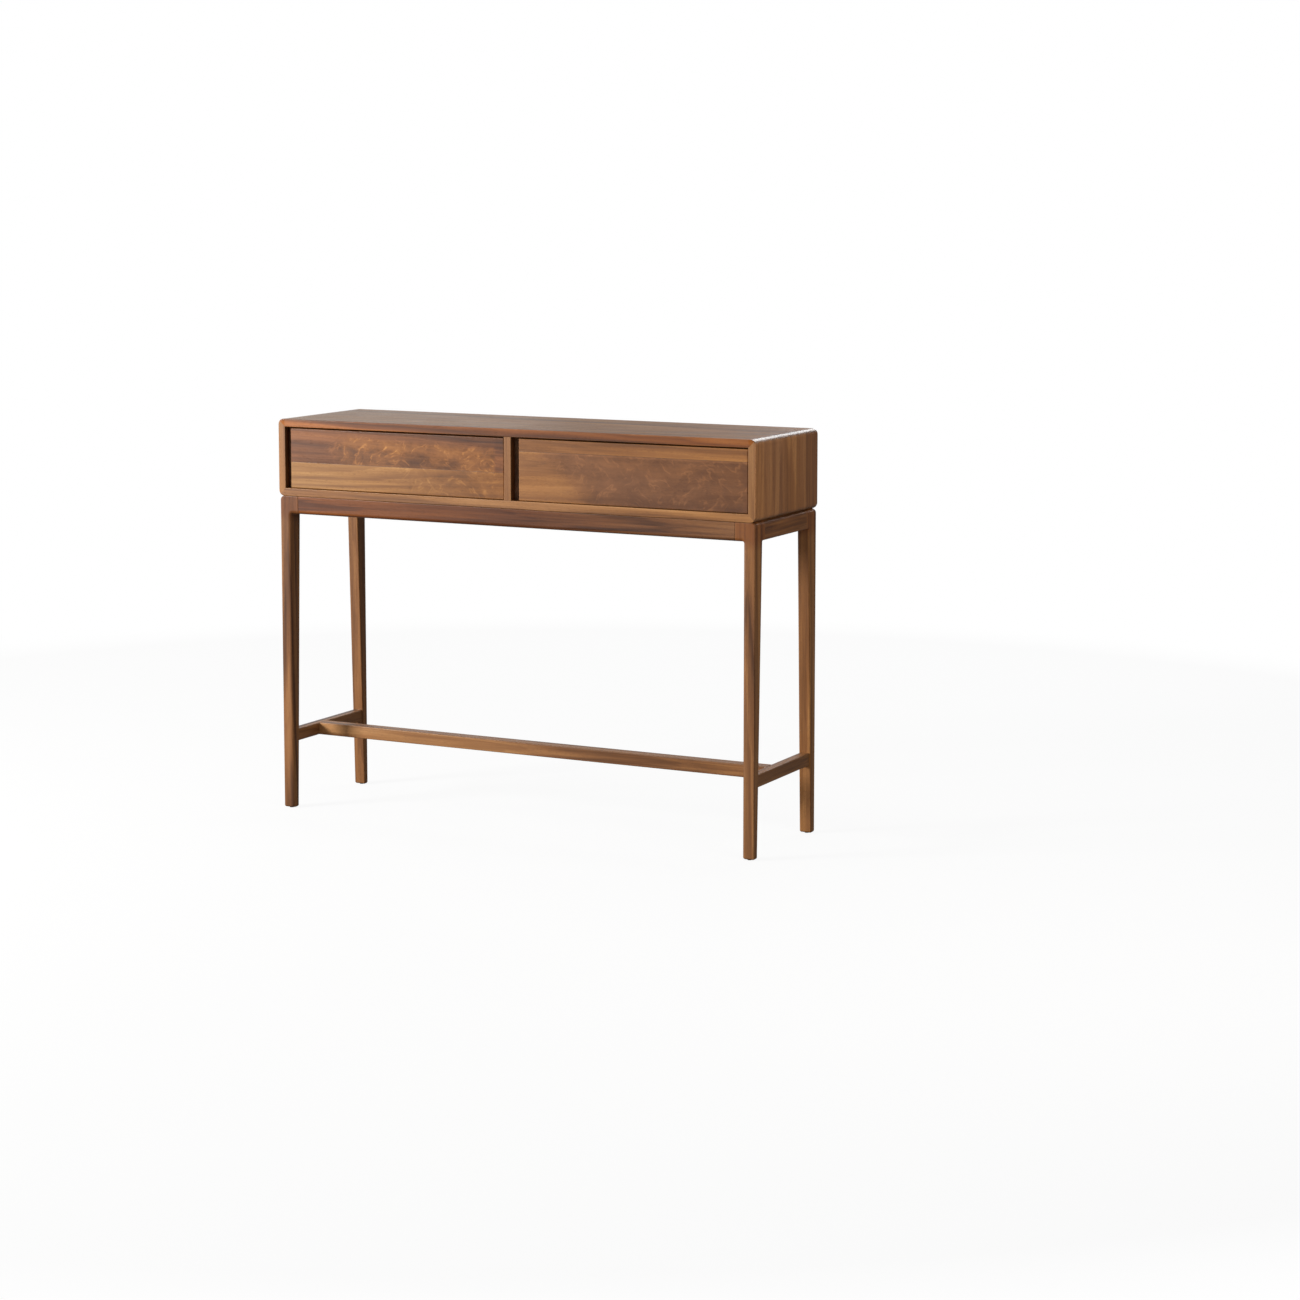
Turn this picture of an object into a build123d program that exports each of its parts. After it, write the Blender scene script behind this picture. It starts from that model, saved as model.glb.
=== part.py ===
from build123d import *
import os

# A console table: a case of mitred boards with two inset drawers, on a stand with
# four tapered legs and an H-shaped stretcher. Everything is in millimetres.
# X runs along the length, Y from front (-Y) to back, Z up from the floor.

# Overall size
LENGTH = 1200.0
DEPTH = 320.0
HEIGHT = 900.0

# Case
CASE_HEIGHT = 176.0
BOARD = 18.0
CASE_CORNER_R = 13.0
BOARD_EDGE_R = 1.5
REBATE = 8.0
BACK_THICKNESS = 6.0
BACK_PLAY = 0.5
SPLINE_WIDTH = 12.0
SPLINE_THICKNESS = 3.0
SPLINE_SETBACK = 12.0
TONGUE_THICKNESS = 10.0
TONGUE_HEIGHT = 6.0
TONGUE_SETBACK = 20.0

# Drawers and their runners
FINGER_GAPS = {"left": 13.0, "right": 18.0}
DRAWER_RECESS = 3.0
FRONT_THICKNESS = 20.0
FRONT_TOP_GAP = 3.0
FRONT_BOTTOM_GAP = 1.0
FRONT_SIDE_GAP = 1.5
FRONT_EDGE_R = 2.0
COVE_R = 5.0
COVE_SETBACK = 9.0
COVE_OFFSET = 1.0
SPACER_FRONT_DEPTH = 17.0
SPACER_CLEARANCE = 2.0
BOX_CLEARANCE = 3.0
BOX_WALL = 12.0
BOX_HEIGHT = 120.0
BOX_LIFT = 6.0
BOX_BACK_GAP = 14.0
BOX_BACK_SETBACK = 6.0
BOX_BACK_DROP = 6.0
BOX_EDGE_R = 1.5
HOUSING = 5.0
BOX_BOTTOM = 6.0
BOX_BOTTOM_LIFT = 6.0
RAIL_HEIGHT = 14.0
RAIL_BITE = 5.5
RAIL_PLAY = 0.5
RAIL_END_GAP = 6.0
RAIL_EASE = 1.5
GROOVE_END_PLAY = 0.2

# Stand
STAND_INSET = 2.0
STAND_CORNER_R = 10.0
APRON_HEIGHT = 41.0
APRON_THICKNESS = 20.0
LEG_WIDTH = 28.0
LEG_DEPTH_TOP = 38.0
LEG_DEPTH_FOOT = 18.0
FRONT_CORNER_R = 4.0
SIDE_CORNER_R = 4.0
FRONT_FLARE = 20.0
SIDE_FLARE = 12.0
INNER_EDGE_R = 8.0
SIDE_EDGE_R = 3.0
LEG_EDGE_R = 2.0
FOOT_R = 4.0
PAD_THICKNESS = 1.5
PAD_R = 4.8
TENON_LENGTH = 20.0
TENON_THICKNESS = 8.0
TENON_HEIGHT = 24.0
STRETCHER_Z = 168.0
STRETCHER_HEIGHT = 28.0
SIDE_STRETCHER_WIDTH = 22.0
CENTRE_STRETCHER_WIDTH = 32.0
CENTRE_STRETCHER_Y = -32.0
STRETCHER_EDGE_R = 2.0
STRETCHER_TENON = (10.0, 12.0, 18.0)
CROSS_RAIL_X = 300.0
CROSS_RAIL_WIDTH = 44.0
CROSS_RAIL_HEIGHT = 22.0
STUB_INSET = 6.0

# Screws: head radius, head height, shank radius, shank length
PANEL_SCREW = (3.5, 2.0, 1.75, 16.0)
RAIL_SCREW = (3.2, 2.5, 1.6, 14.0)
SPACER_SCREW = (3.5, 2.5, 1.75, 20.0)
FRAME_SCREW = (4.0, 3.0, 2.0, 32.0)
HOLE_PLAY = 0.15
HEAD_SINK = 0.3
PANEL_SCREW_X = (-570.0, -285.0, 0.0, 285.0, 570.0)
FIXING_SCREW_Y = (-90.0, 90.0)
RAIL_SCREW_Y = (-90.0, 0.0, 90.0)
SPACER_SCREW_Y = (-100.0, 100.0)
SPACER_SCREW_RISE = 45.0

# Places worked out from the sizes above
MARGIN = 1.0
HALF_LENGTH = LENGTH / 2
HALF_DEPTH = DEPTH / 2
CASE_FLOOR = HEIGHT - CASE_HEIGHT
BAY_FLOOR = CASE_FLOOR + BOARD
BAY_TOP = HEIGHT - BOARD
BAY_END = HALF_LENGTH - BOARD
BACK_FACE = HALF_DEPTH - REBATE
STAND_X = HALF_LENGTH - STAND_INSET
STAND_Y = HALF_DEPTH - STAND_INSET
APRON_FLOOR = CASE_FLOOR - APRON_HEIGHT
APRON_END_X = STAND_X - LEG_WIDTH - FRONT_FLARE
APRON_END_Y = STAND_Y - LEG_DEPTH_TOP - SIDE_FLARE


def block(x0, x1, y0, y1, z0, z1):
    """A box between two corners."""
    centre = Pos((x0 + x1) / 2, (y0 + y1) / 2, (z0 + z1) / 2)
    return centre * Box(abs(x1 - x0), abs(y1 - y0), abs(z1 - z0))


def near(shapes, axis, place, tolerance=0.01):
    """The edges or faces that lie wholly at one place along an axis."""
    return shapes.filter_by_position(axis, place - tolerance, place + tolerance)


def outline_solid(points, direction, amount):
    """A closed outline of points, run straight along one direction."""
    return extrude(make_face(Polyline(points, close=True)), amount=amount, dir=direction)


# ---------------------------------------------------------------- screws


def screw_at(size, place, direction):
    """A screw with its head's underside at place, pointing along direction."""
    head_r, head_height, shank_r, shank_length = size
    head = Pos(0, 0, -head_height / 2) * Cylinder(head_r, head_height)
    rim = head.edges().sort_by(Axis.Z)[0]
    head = fillet(rim, head_height * 0.4)
    for angle in (0, 90):
        slot = Box(head_r * 1.1, 0.9, head_height * 0.6)
        head -= Pos(0, 0, -head_height) * Rot(0, 0, angle) * slot
    shank = Pos(0, 0, shank_length / 2) * Cylinder(shank_r, shank_length)
    tip = shank.edges().sort_by(Axis.Z)[-1]
    shank = chamfer(tip, shank_r * 0.8)
    return Plane(origin=place, z_dir=direction) * (head + shank)


def hole_for(size, place, direction):
    """The clear space that a screw needs: its shank and its head, a little larger."""
    head_r, head_height, shank_r, shank_length = size
    shank_space = shank_length + HOLE_PLAY
    shank = Pos(0, 0, shank_space / 2) * Cylinder(shank_r + HOLE_PLAY, shank_space)
    head = Pos(0, 0, -head_height / 2) * Cylinder(head_r + HOLE_PLAY, head_height)
    return Plane(origin=place, z_dir=direction) * (head + shank)


def panel_screw_places():
    edge = REBATE / 2
    rows = [(x, z) for x in PANEL_SCREW_X for z in (BAY_FLOOR - edge, BAY_TOP + edge)]
    ends = [(side * (BAY_END + edge), (BAY_FLOOR + BAY_TOP) / 2) for side in (-1, 1)]
    y = BACK_FACE + BACK_THICKNESS
    return [((x, y, z), (0, -1, 0)) for x, z in rows + ends]


def fixing_screw_places():
    """Up through the cross rails into the case."""
    z = CASE_FLOOR - CROSS_RAIL_HEIGHT + FRAME_SCREW[1]
    spots = [(x, y) for x in (-CROSS_RAIL_X, CROSS_RAIL_X) for y in FIXING_SCREW_Y]
    return [((x, y, z), (0, 0, 1)) for x, y in spots]


# ---------------------------------------------------------------- case


def mitre_splines():
    """Thin keys across the four mitres, hidden inside the corners."""
    offset = CASE_CORNER_R
    length = DEPTH - 2 * SPLINE_SETBACK
    splines = []
    for side_x, side_z in ((-1, 1), (1, 1), (-1, -1), (1, -1)):
        x = side_x * (HALF_LENGTH - offset)
        z = HEIGHT - offset if side_z > 0 else CASE_FLOOR + offset
        turn = -45 * side_x * side_z
        key = Box(SPLINE_WIDTH, length, SPLINE_THICKNESS)
        splines.append(Pos(x, 0, z) * Rot(0, turn, 0) * key)
    return splines


def divider():
    """The upright between the drawers, with a tongue at its top and bottom."""
    half = BOARD / 2
    upright = block(-half, half, -HALF_DEPTH, BACK_FACE, BAY_FLOOR, BAY_TOP)
    front = near(upright.edges().filter_by(Axis.Z), Axis.Y, -HALF_DEPTH)
    upright = fillet(front, BOARD_EDGE_R)
    tongue = TONGUE_THICKNESS / 2
    start = -HALF_DEPTH + TONGUE_SETBACK
    end = BACK_FACE - TONGUE_SETBACK
    low = BAY_FLOOR - TONGUE_HEIGHT
    high = BAY_TOP + TONGUE_HEIGHT
    return upright + block(-tongue, tongue, start, end, low, high)


def case_ring():
    """The four case boards in one piece, before the mitres part them."""
    middle = Pos(0, 0, CASE_FLOOR + CASE_HEIGHT / 2)
    outer = RectangleRounded(LENGTH, CASE_HEIGHT, CASE_CORNER_R)
    inner = Rectangle(2 * BAY_END, BAY_TOP - BAY_FLOOR)
    ring = middle * extrude(Plane.XZ * (outer - inner), amount=HALF_DEPTH, both=True)
    ring = fillet(near(ring.edges(), Axis.Y, -HALF_DEPTH), BOARD_EDGE_R)
    back = near(ring.edges(), Axis.Y, HALF_DEPTH)
    outer_back = [e for e in back if is_outer(e)]
    ring = fillet(outer_back, BOARD_EDGE_R)
    wide = BAY_END + REBATE
    return ring - block(
        -wide, wide, BACK_FACE, HALF_DEPTH, BAY_FLOOR - REBATE, BAY_TOP + REBATE
    )


def is_outer(edge):
    """Whether an edge of the ring lies on its outer outline."""
    centre = edge.center()
    inside_x = abs(centre.X) < BAY_END + 1
    inside_z = BAY_FLOOR - 1 < centre.Z < BAY_TOP + 1
    return not (inside_x and inside_z)


def case_boards(taken):
    """The four mitred boards, cleared of everything let into them."""
    ring = case_ring()
    for solid in taken:
        ring -= solid
    outer_top = [(-HALF_LENGTH, HEIGHT), (HALF_LENGTH, HEIGHT)]
    inner_top = [(-BAY_END, BAY_TOP), (BAY_END, BAY_TOP)]
    outer_low = [(-HALF_LENGTH, CASE_FLOOR), (HALF_LENGTH, CASE_FLOOR)]
    inner_low = [(-BAY_END, BAY_FLOOR), (BAY_END, BAY_FLOOR)]
    outlines = {
        "case_top": [*outer_top, *reversed(inner_top)],
        "case_bottom": [*outer_low, *reversed(inner_low)],
        "case_left_side": [outer_top[0], inner_top[0], inner_low[0], outer_low[0]],
        "case_right_side": [outer_top[1], inner_top[1], inner_low[1], outer_low[1]],
    }
    boards = {}
    for name, points in outlines.items():
        front = [(x, -HALF_DEPTH, z) for x, z in points]
        boards[name] = ring & outline_solid(front, (0, 1, 0), DEPTH)
    return boards


def back_panel():
    wide = BAY_END + REBATE - BACK_PLAY
    low = BAY_FLOOR - REBATE + BACK_PLAY
    high = BAY_TOP + REBATE - BACK_PLAY
    return block(-wide, wide, BACK_FACE, BACK_FACE + BACK_THICKNESS, low, high)


# ---------------------------------------------------------------- drawers


class Bay:
    """One drawer's place in the case, and the planes its pieces share."""

    def __init__(self, side):
        self.gap = FINGER_GAPS[side]
        self.left = -BAY_END if side == "left" else BOARD / 2
        self.right = -BOARD / 2 if side == "left" else BAY_END
        self.spacer_face = self.left + self.gap - SPACER_CLEARANCE
        self.front_left = self.left + self.gap
        self.front_right = self.right - FRONT_SIDE_GAP
        self.box_left = self.spacer_face + BOX_CLEARANCE
        self.box_right = self.right - BOX_CLEARANCE
        self.front_y = -HALF_DEPTH + DRAWER_RECESS
        self.inner_y = self.front_y + FRONT_THICKNESS
        self.back_y = BACK_FACE - BOX_BACK_GAP
        self.box_floor = BAY_FLOOR + BOX_LIFT
        self.box_top = self.box_floor + BOX_HEIGHT
        self.rail_z = (self.box_floor + self.box_top) / 2
        self.rail_start = self.inner_y + RAIL_END_GAP
        self.rail_end = BACK_FACE - RAIL_END_GAP


def spacer(bay):
    """The full-height board beside the finger gap that carries the left rail."""
    start = -HALF_DEPTH + SPACER_FRONT_DEPTH
    return block(bay.left, bay.spacer_face, start, bay.rail_end, BAY_FLOOR, BAY_TOP)


def rails(bay):
    """The two runner rails, which bite into the grooves of the drawer's sides."""
    reach = BOX_CLEARANCE + RAIL_BITE
    z0 = bay.rail_z - RAIL_HEIGHT / 2
    z1 = bay.rail_z + RAIL_HEIGHT / 2
    ends = (bay.rail_start, bay.rail_end)
    left = block(bay.spacer_face, bay.spacer_face + reach, *ends, z0, z1)
    right = block(bay.right - reach, bay.right, *ends, z0, z1)
    return [eased_rail(left), eased_rail(right)]


def eased_rail(rail):
    """Takes the sharp corners off a rail's front end."""
    front = rail.faces().sort_by(Axis.Y)[0]
    return chamfer(front.edges().filter_by(Axis.X), RAIL_EASE)


def rail_screw_places(bay):
    reach = BOX_CLEARANCE + RAIL_BITE
    sunk = reach - RAIL_SCREW[1] - HEAD_SINK
    places = []
    for y in RAIL_SCREW_Y:
        places.append(((bay.spacer_face + sunk, y, bay.rail_z), (-1, 0, 0)))
        places.append(((bay.right - sunk, y, bay.rail_z), (1, 0, 0)))
    return places


def spacer_screw_places(bay):
    x = bay.spacer_face - SPACER_SCREW[1] - HEAD_SINK
    heights = (bay.rail_z - SPACER_SCREW_RISE, bay.rail_z + SPACER_SCREW_RISE)
    return [((x, y, z), (-1, 0, 0)) for y in SPACER_SCREW_Y for z in heights]


def drawer_side(bay, x0, x1, groove_x0, groove_x1):
    """A drawer side with a stopped groove for its rail and a groove for the bottom."""
    side = block(x0, x1, bay.inner_y - HOUSING, bay.back_y, bay.box_floor, bay.box_top)
    top = near(side.edges().filter_by(Axis.Y), Axis.Z, bay.box_top)
    side = fillet(top, BOX_EDGE_R)
    half = RAIL_HEIGHT / 2 + RAIL_PLAY
    start = bay.rail_start - GROOVE_END_PLAY
    z = bay.rail_z
    return side - block(groove_x0, groove_x1, start, bay.back_y, z - half, z + half)


def drawer_front(bay):
    """The inset front, with a cove along its left edge to pull it by."""
    z0 = BAY_FLOOR + FRONT_BOTTOM_GAP
    z1 = BAY_TOP - FRONT_TOP_GAP
    front = block(bay.front_left, bay.front_right, bay.front_y, bay.inner_y, z0, z1)
    face_edges = near(front.edges(), Axis.Y, bay.front_y)
    front = fillet(face_edges, FRONT_EDGE_R)
    cove = Cylinder(COVE_R, BAY_TOP - BAY_FLOOR)
    cove_x = bay.front_left - COVE_OFFSET
    cove_z = (BAY_FLOOR + BAY_TOP) / 2
    return front - Pos(cove_x, bay.front_y + COVE_SETBACK, cove_z) * cove


def drawer_pieces(bay):
    """The five pieces of one drawer, housed and grooved into each other."""
    groove = RAIL_BITE + RAIL_PLAY
    left_inner = bay.box_left + BOX_WALL
    right_inner = bay.box_right - BOX_WALL
    left = drawer_side(bay, bay.box_left, left_inner, bay.box_left, bay.box_left + groove)
    right = drawer_side(
        bay, right_inner, bay.box_right, bay.box_right - groove, bay.box_right
    )
    back_start = bay.back_y - BOX_WALL - BOX_BACK_SETBACK
    back = block(
        left_inner - HOUSING,
        right_inner + HOUSING,
        back_start,
        back_start + BOX_WALL,
        bay.box_floor,
        bay.box_top - BOX_BACK_DROP,
    )
    bottom_z = bay.box_floor + BOX_BOTTOM_LIFT
    bottom = block(
        left_inner - HOUSING,
        right_inner + HOUSING,
        bay.inner_y - HOUSING,
        back_start + HOUSING,
        bottom_z,
        bottom_z + BOX_BOTTOM,
    )
    front = drawer_front(bay) - left - right - bottom
    back -= bottom
    return {
        "front": front,
        "left_side": left - back - bottom,
        "right_side": right - back - bottom,
        "back": back,
        "bottom": bottom,
    }


# ---------------------------------------------------------------- stand


def edge_through(solid, axis, **place):
    """The edge along an axis whose middle has the given coordinates."""
    found = solid.edges().filter_by(axis)
    for name, value in place.items():
        found = found.filter_by(lambda e: abs(getattr(e.center(), name) - value) < 0.1)
    return found


def leg_blank():
    """The front left leg: its front outline crossed with its side outline."""
    x0, y0, z0 = -STAND_X, -STAND_Y, PAD_THICKNESS
    x1 = x0 + LEG_WIDTH
    x2 = x1 + FRONT_FLARE
    y1 = y0 + LEG_DEPTH_FOOT
    y2 = y0 + LEG_DEPTH_TOP
    y3 = y2 + SIDE_FLARE
    low = APRON_FLOOR
    high = CASE_FLOOR
    front_points = [(x0, z0), (x1, z0), (x1, low), (x2, low), (x2, high), (x0, high)]
    front_points = [(x, y0, z) for x, z in front_points]
    front = outline_solid(front_points, (0, 1, 0), y3 - y0)
    front = fillet(edge_through(front, Axis.Y, X=x1, Z=low), FRONT_CORNER_R)
    front = fillet(edge_through(front, Axis.Y, X=x0, Z=high), STAND_CORNER_R)
    side_points = [(y0, z0), (y1, z0), (y2, low), (y3, low), (y3, high), (y0, high)]
    side_points = [(x0, y, z) for y, z in side_points]
    side = outline_solid(side_points, (1, 0, 0), x2 - x0)
    side = fillet(edge_through(side, Axis.X, Y=y2, Z=low), SIDE_CORNER_R)
    return front & side


def rounded_leg():
    """The front left leg with its edges softened, most of all round the openings."""
    leg = leg_blank()
    x0, y0 = -STAND_X, -STAND_Y
    x1 = x0 + LEG_WIDTH
    above_foot = PAD_THICKNESS + MARGIN
    opening_top = APRON_FLOOR + MARGIN
    mid_depth = y0 + LEG_DEPTH_FOOT / 2

    # The front edge round the opening: the leg's inner edge, the flare and the joint's lower edge
    front = [(e, e.center()) for e in near(leg.edges(), Axis.Y, y0)]
    opening = [e for e, c in front if c.X > x1 - MARGIN and above_foot < c.Z < opening_top]
    leg = fillet(opening, INNER_EDGE_R)

    # The same edge on the leg's outer side
    side = [(e, e.center()) for e in near(leg.edges(), Axis.X, x0)]
    opening = [e for e, c in side if c.Y > mid_depth and above_foot < c.Z < opening_top]
    leg = fillet(opening, SIDE_EDGE_R)

    # The outer corner of the leg and the top edge of its front
    front = [(e, e.center()) for e in near(leg.edges(), Axis.Y, y0) if e.center().Z > above_foot]
    middle = APRON_FLOOR + APRON_HEIGHT / 2
    outer = [e for e, c in front if c.X < x0 + MARGIN or c.Z > middle]
    leg = fillet(outer, LEG_EDGE_R)

    # The inner corner at the back of the leg
    below_flare = APRON_FLOOR - FRONT_CORNER_R
    inner = [(e, e.center()) for e in leg.edges() if abs(e.center().X - x1) < MARGIN]
    inner = [e for e, c in inner if c.Y > y0 + LEG_DEPTH_FOOT and above_foot < c.Z < below_flare]
    leg = fillet(inner, SIDE_EDGE_R)
    return fillet(near(leg.edges(), Axis.Z, PAD_THICKNESS), FOOT_R)


def four_corners(solid):
    """A corner piece and its mirror images, keyed by the corner they stand in."""
    right = mirror(solid, about=Plane.YZ)
    return {
        "front_left": solid,
        "front_right": right,
        "back_left": mirror(solid, about=Plane.XZ),
        "back_right": mirror(right, about=Plane.XZ),
    }


def long_apron():
    """The front apron with its end tenons."""
    x, y = APRON_END_X, -STAND_Y
    apron = block(-x, x, y, y + APRON_THICKNESS, APRON_FLOOR, CASE_FLOOR)
    apron = fillet(edge_through(apron, Axis.X, Y=y, Z=APRON_FLOOR), INNER_EDGE_R)
    apron = fillet(edge_through(apron, Axis.X, Y=y, Z=CASE_FLOOR), LEG_EDGE_R)
    inside = y + APRON_THICKNESS
    apron = fillet(edge_through(apron, Axis.X, Y=inside, Z=APRON_FLOOR), LEG_EDGE_R)
    middle = y + APRON_THICKNESS / 2
    half = TENON_THICKNESS / 2
    reach = x + TENON_LENGTH
    return apron + block(-reach, reach, middle - half, middle + half, *tenon_span())


def short_apron():
    """The left apron, its top edge rounded over like the legs beside it."""
    x, y = -STAND_X, APRON_END_Y
    inside = x + APRON_THICKNESS
    apron = block(x, inside, -y, y, APRON_FLOOR, CASE_FLOOR)
    apron = fillet(edge_through(apron, Axis.Y, X=x, Z=APRON_FLOOR), SIDE_EDGE_R)
    apron = fillet(edge_through(apron, Axis.Y, X=x, Z=CASE_FLOOR), STAND_CORNER_R)
    apron = fillet(edge_through(apron, Axis.Y, X=inside, Z=APRON_FLOOR), LEG_EDGE_R)
    middle = x + APRON_THICKNESS / 2
    half = TENON_THICKNESS / 2
    reach = y + TENON_LENGTH
    return apron + block(middle - half, middle + half, -reach, reach, *tenon_span())


def tenon_span():
    """The height of the aprons' tenons, lowest and highest."""
    middle = (APRON_FLOOR + CASE_FLOOR) / 2
    return middle - TENON_HEIGHT / 2, middle + TENON_HEIGHT / 2


def bar(x0, x1, y0, y1, axis):
    """A stretcher's straight bar with its four long edges eased."""
    half = STRETCHER_HEIGHT / 2
    solid = block(x0, x1, y0, y1, STRETCHER_Z - half, STRETCHER_Z + half)
    return fillet(solid.edges().filter_by(axis), STRETCHER_EDGE_R)


def side_stretcher(legs):
    """The left stretcher, cut to the taper of the legs and tenoned into them."""
    thickness, length, height = STRETCHER_TENON
    x = -STAND_X + LEG_WIDTH / 2
    half = SIDE_STRETCHER_WIDTH / 2
    reach = STAND_Y - LEG_DEPTH_FOOT + length / 2
    stretcher = bar(x - half, x + half, -reach, reach, Axis.Y)
    for leg in legs:
        stretcher -= leg
    low = STRETCHER_Z - height / 2
    high = STRETCHER_Z + height / 2
    tenon = block(x - thickness / 2, x + thickness / 2, -reach, reach, low, high)
    return stretcher + tenon


def centre_stretcher():
    """The long stretcher between the two side stretchers."""
    thickness, length, height = STRETCHER_TENON
    x = STAND_X - LEG_WIDTH / 2 - SIDE_STRETCHER_WIDTH / 2
    y = CENTRE_STRETCHER_Y
    half = CENTRE_STRETCHER_WIDTH / 2
    stretcher = bar(-x, x, y - half, y + half, Axis.X)
    reach = x + length
    low = STRETCHER_Z - height / 2
    high = STRETCHER_Z + height / 2
    return stretcher + block(-reach, reach, y - thickness / 2, y + thickness / 2, low, high)


def cross_rail(x):
    """A rail from front apron to back apron, screwed up into the case."""
    half = CROSS_RAIL_WIDTH / 2
    y = STAND_Y - APRON_THICKNESS
    rail = block(x - half, x + half, -y, y, CASE_FLOOR - CROSS_RAIL_HEIGHT, CASE_FLOOR)
    low_edges = near(rail.edges().filter_by(Axis.Y), Axis.Z, CASE_FLOOR - CROSS_RAIL_HEIGHT)
    rail = fillet(low_edges, LEG_EDGE_R)
    stub = y + TENON_THICKNESS
    low = CASE_FLOOR - CROSS_RAIL_HEIGHT + STUB_INSET
    high = CASE_FLOOR - STUB_INSET
    half -= STUB_INSET
    return rail + block(x - half, x + half, -stub, stub, low, high)


def foot_pad():
    """The felt disc under the front left foot."""
    x = -STAND_X + LEG_WIDTH / 2
    y = -STAND_Y + LEG_DEPTH_FOOT / 2
    return Pos(x, y, PAD_THICKNESS / 2) * Cylinder(PAD_R, PAD_THICKNESS)


# ---------------------------------------------------------------- the whole table


def cleared(solid, taken):
    """A solid with the space of every other piece in the list taken out of it."""
    for piece in taken:
        solid -= piece
    return solid


def screw_set(size, places):
    screws = [screw_at(size, place, way) for place, way in places]
    holes = [hole_for(size, place, way) for place, way in places]
    return Compound(children=screws), holes


def build_drawers(bays, nodes):
    for side, bay in bays.items():
        for piece, solid in drawer_pieces(bay).items():
            nodes[f"drawer_{side}_{piece}"] = solid


def build_case(bays, nodes):
    splines = mitre_splines()
    upright = divider()
    panel_screws, panel_holes = screw_set(PANEL_SCREW, panel_screw_places())
    fixing_screws, fixing_holes = screw_set(FRAME_SCREW, fixing_screw_places())
    rail_places = [place for bay in bays.values() for place in rail_screw_places(bay)]
    rail_screws, rail_holes = screw_set(RAIL_SCREW, rail_places)
    spacer_places = [place for bay in bays.values() for place in spacer_screw_places(bay)]
    spacer_screws, spacer_holes = screw_set(SPACER_SCREW, spacer_places)
    side_holes = rail_holes + spacer_holes

    nodes.update(case_boards([*splines, upright, *panel_holes, *fixing_holes, *side_holes]))
    nodes["case_divider"] = cleared(upright, side_holes)
    nodes["case_back_panel"] = cleared(back_panel(), panel_holes)
    nodes["mitre_splines"] = Compound(children=splines)
    for side, bay in bays.items():
        nodes[f"spacer_{side}_bay"] = cleared(spacer(bay), side_holes)
        pair = [cleared(rail, rail_holes) for rail in rails(bay)]
        nodes[f"runner_rails_{side}_bay"] = Compound(children=pair)
    nodes["back_panel_screws"] = panel_screws
    nodes["runner_rail_screws"] = rail_screws
    nodes["spacer_screws"] = spacer_screws
    nodes["case_fixing_screws"] = fixing_screws
    return fixing_holes


def build_stand(fixing_holes, nodes):
    front_apron = long_apron()
    left_apron = short_apron()
    legs = four_corners(rounded_leg())
    left_legs = [legs["front_left"], legs["back_left"]]
    left_stretcher = side_stretcher(left_legs)
    centre = centre_stretcher()
    cross_rails = {"left": cross_rail(-CROSS_RAIL_X), "right": cross_rail(CROSS_RAIL_X)}

    corner = cleared(legs["front_left"], [front_apron, left_apron, left_stretcher])
    for place, leg in four_corners(corner).items():
        nodes[f"leg_{place}"] = leg
    front_apron = cleared(front_apron, cross_rails.values())
    nodes["apron_front"] = front_apron
    nodes["apron_back"] = mirror(front_apron, about=Plane.XZ)
    nodes["apron_left"] = left_apron
    nodes["apron_right"] = mirror(left_apron, about=Plane.YZ)
    left_stretcher = cleared(left_stretcher, [centre])
    nodes["stretcher_left"] = left_stretcher
    nodes["stretcher_right"] = mirror(left_stretcher, about=Plane.YZ)
    nodes["stretcher_centre"] = centre
    for side, rail in cross_rails.items():
        nodes[f"cross_rail_{side}"] = cleared(rail, fixing_holes)
    nodes["foot_pads"] = Compound(children=list(four_corners(foot_pad()).values()))


def main():
    os.makedirs("parts", exist_ok=True)
    bays = {side: Bay(side) for side in FINGER_GAPS}
    nodes = {}
    fixing_holes = build_case(bays, nodes)
    build_drawers(bays, nodes)
    build_stand(fixing_holes, nodes)
    for name, shape in nodes.items():
        export_step(shape, f"parts/{name}.step")


main()
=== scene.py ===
import math

import bpy
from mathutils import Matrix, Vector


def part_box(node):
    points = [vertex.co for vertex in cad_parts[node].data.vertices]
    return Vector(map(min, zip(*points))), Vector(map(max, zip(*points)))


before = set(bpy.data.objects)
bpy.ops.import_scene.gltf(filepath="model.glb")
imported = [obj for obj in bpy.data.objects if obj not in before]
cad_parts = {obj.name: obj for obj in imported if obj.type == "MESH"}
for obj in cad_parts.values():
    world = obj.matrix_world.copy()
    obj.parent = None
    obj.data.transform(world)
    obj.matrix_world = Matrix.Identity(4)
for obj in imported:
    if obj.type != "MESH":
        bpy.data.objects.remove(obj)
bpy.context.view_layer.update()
scene = bpy.context.scene


# ---- Node helpers ----

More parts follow.
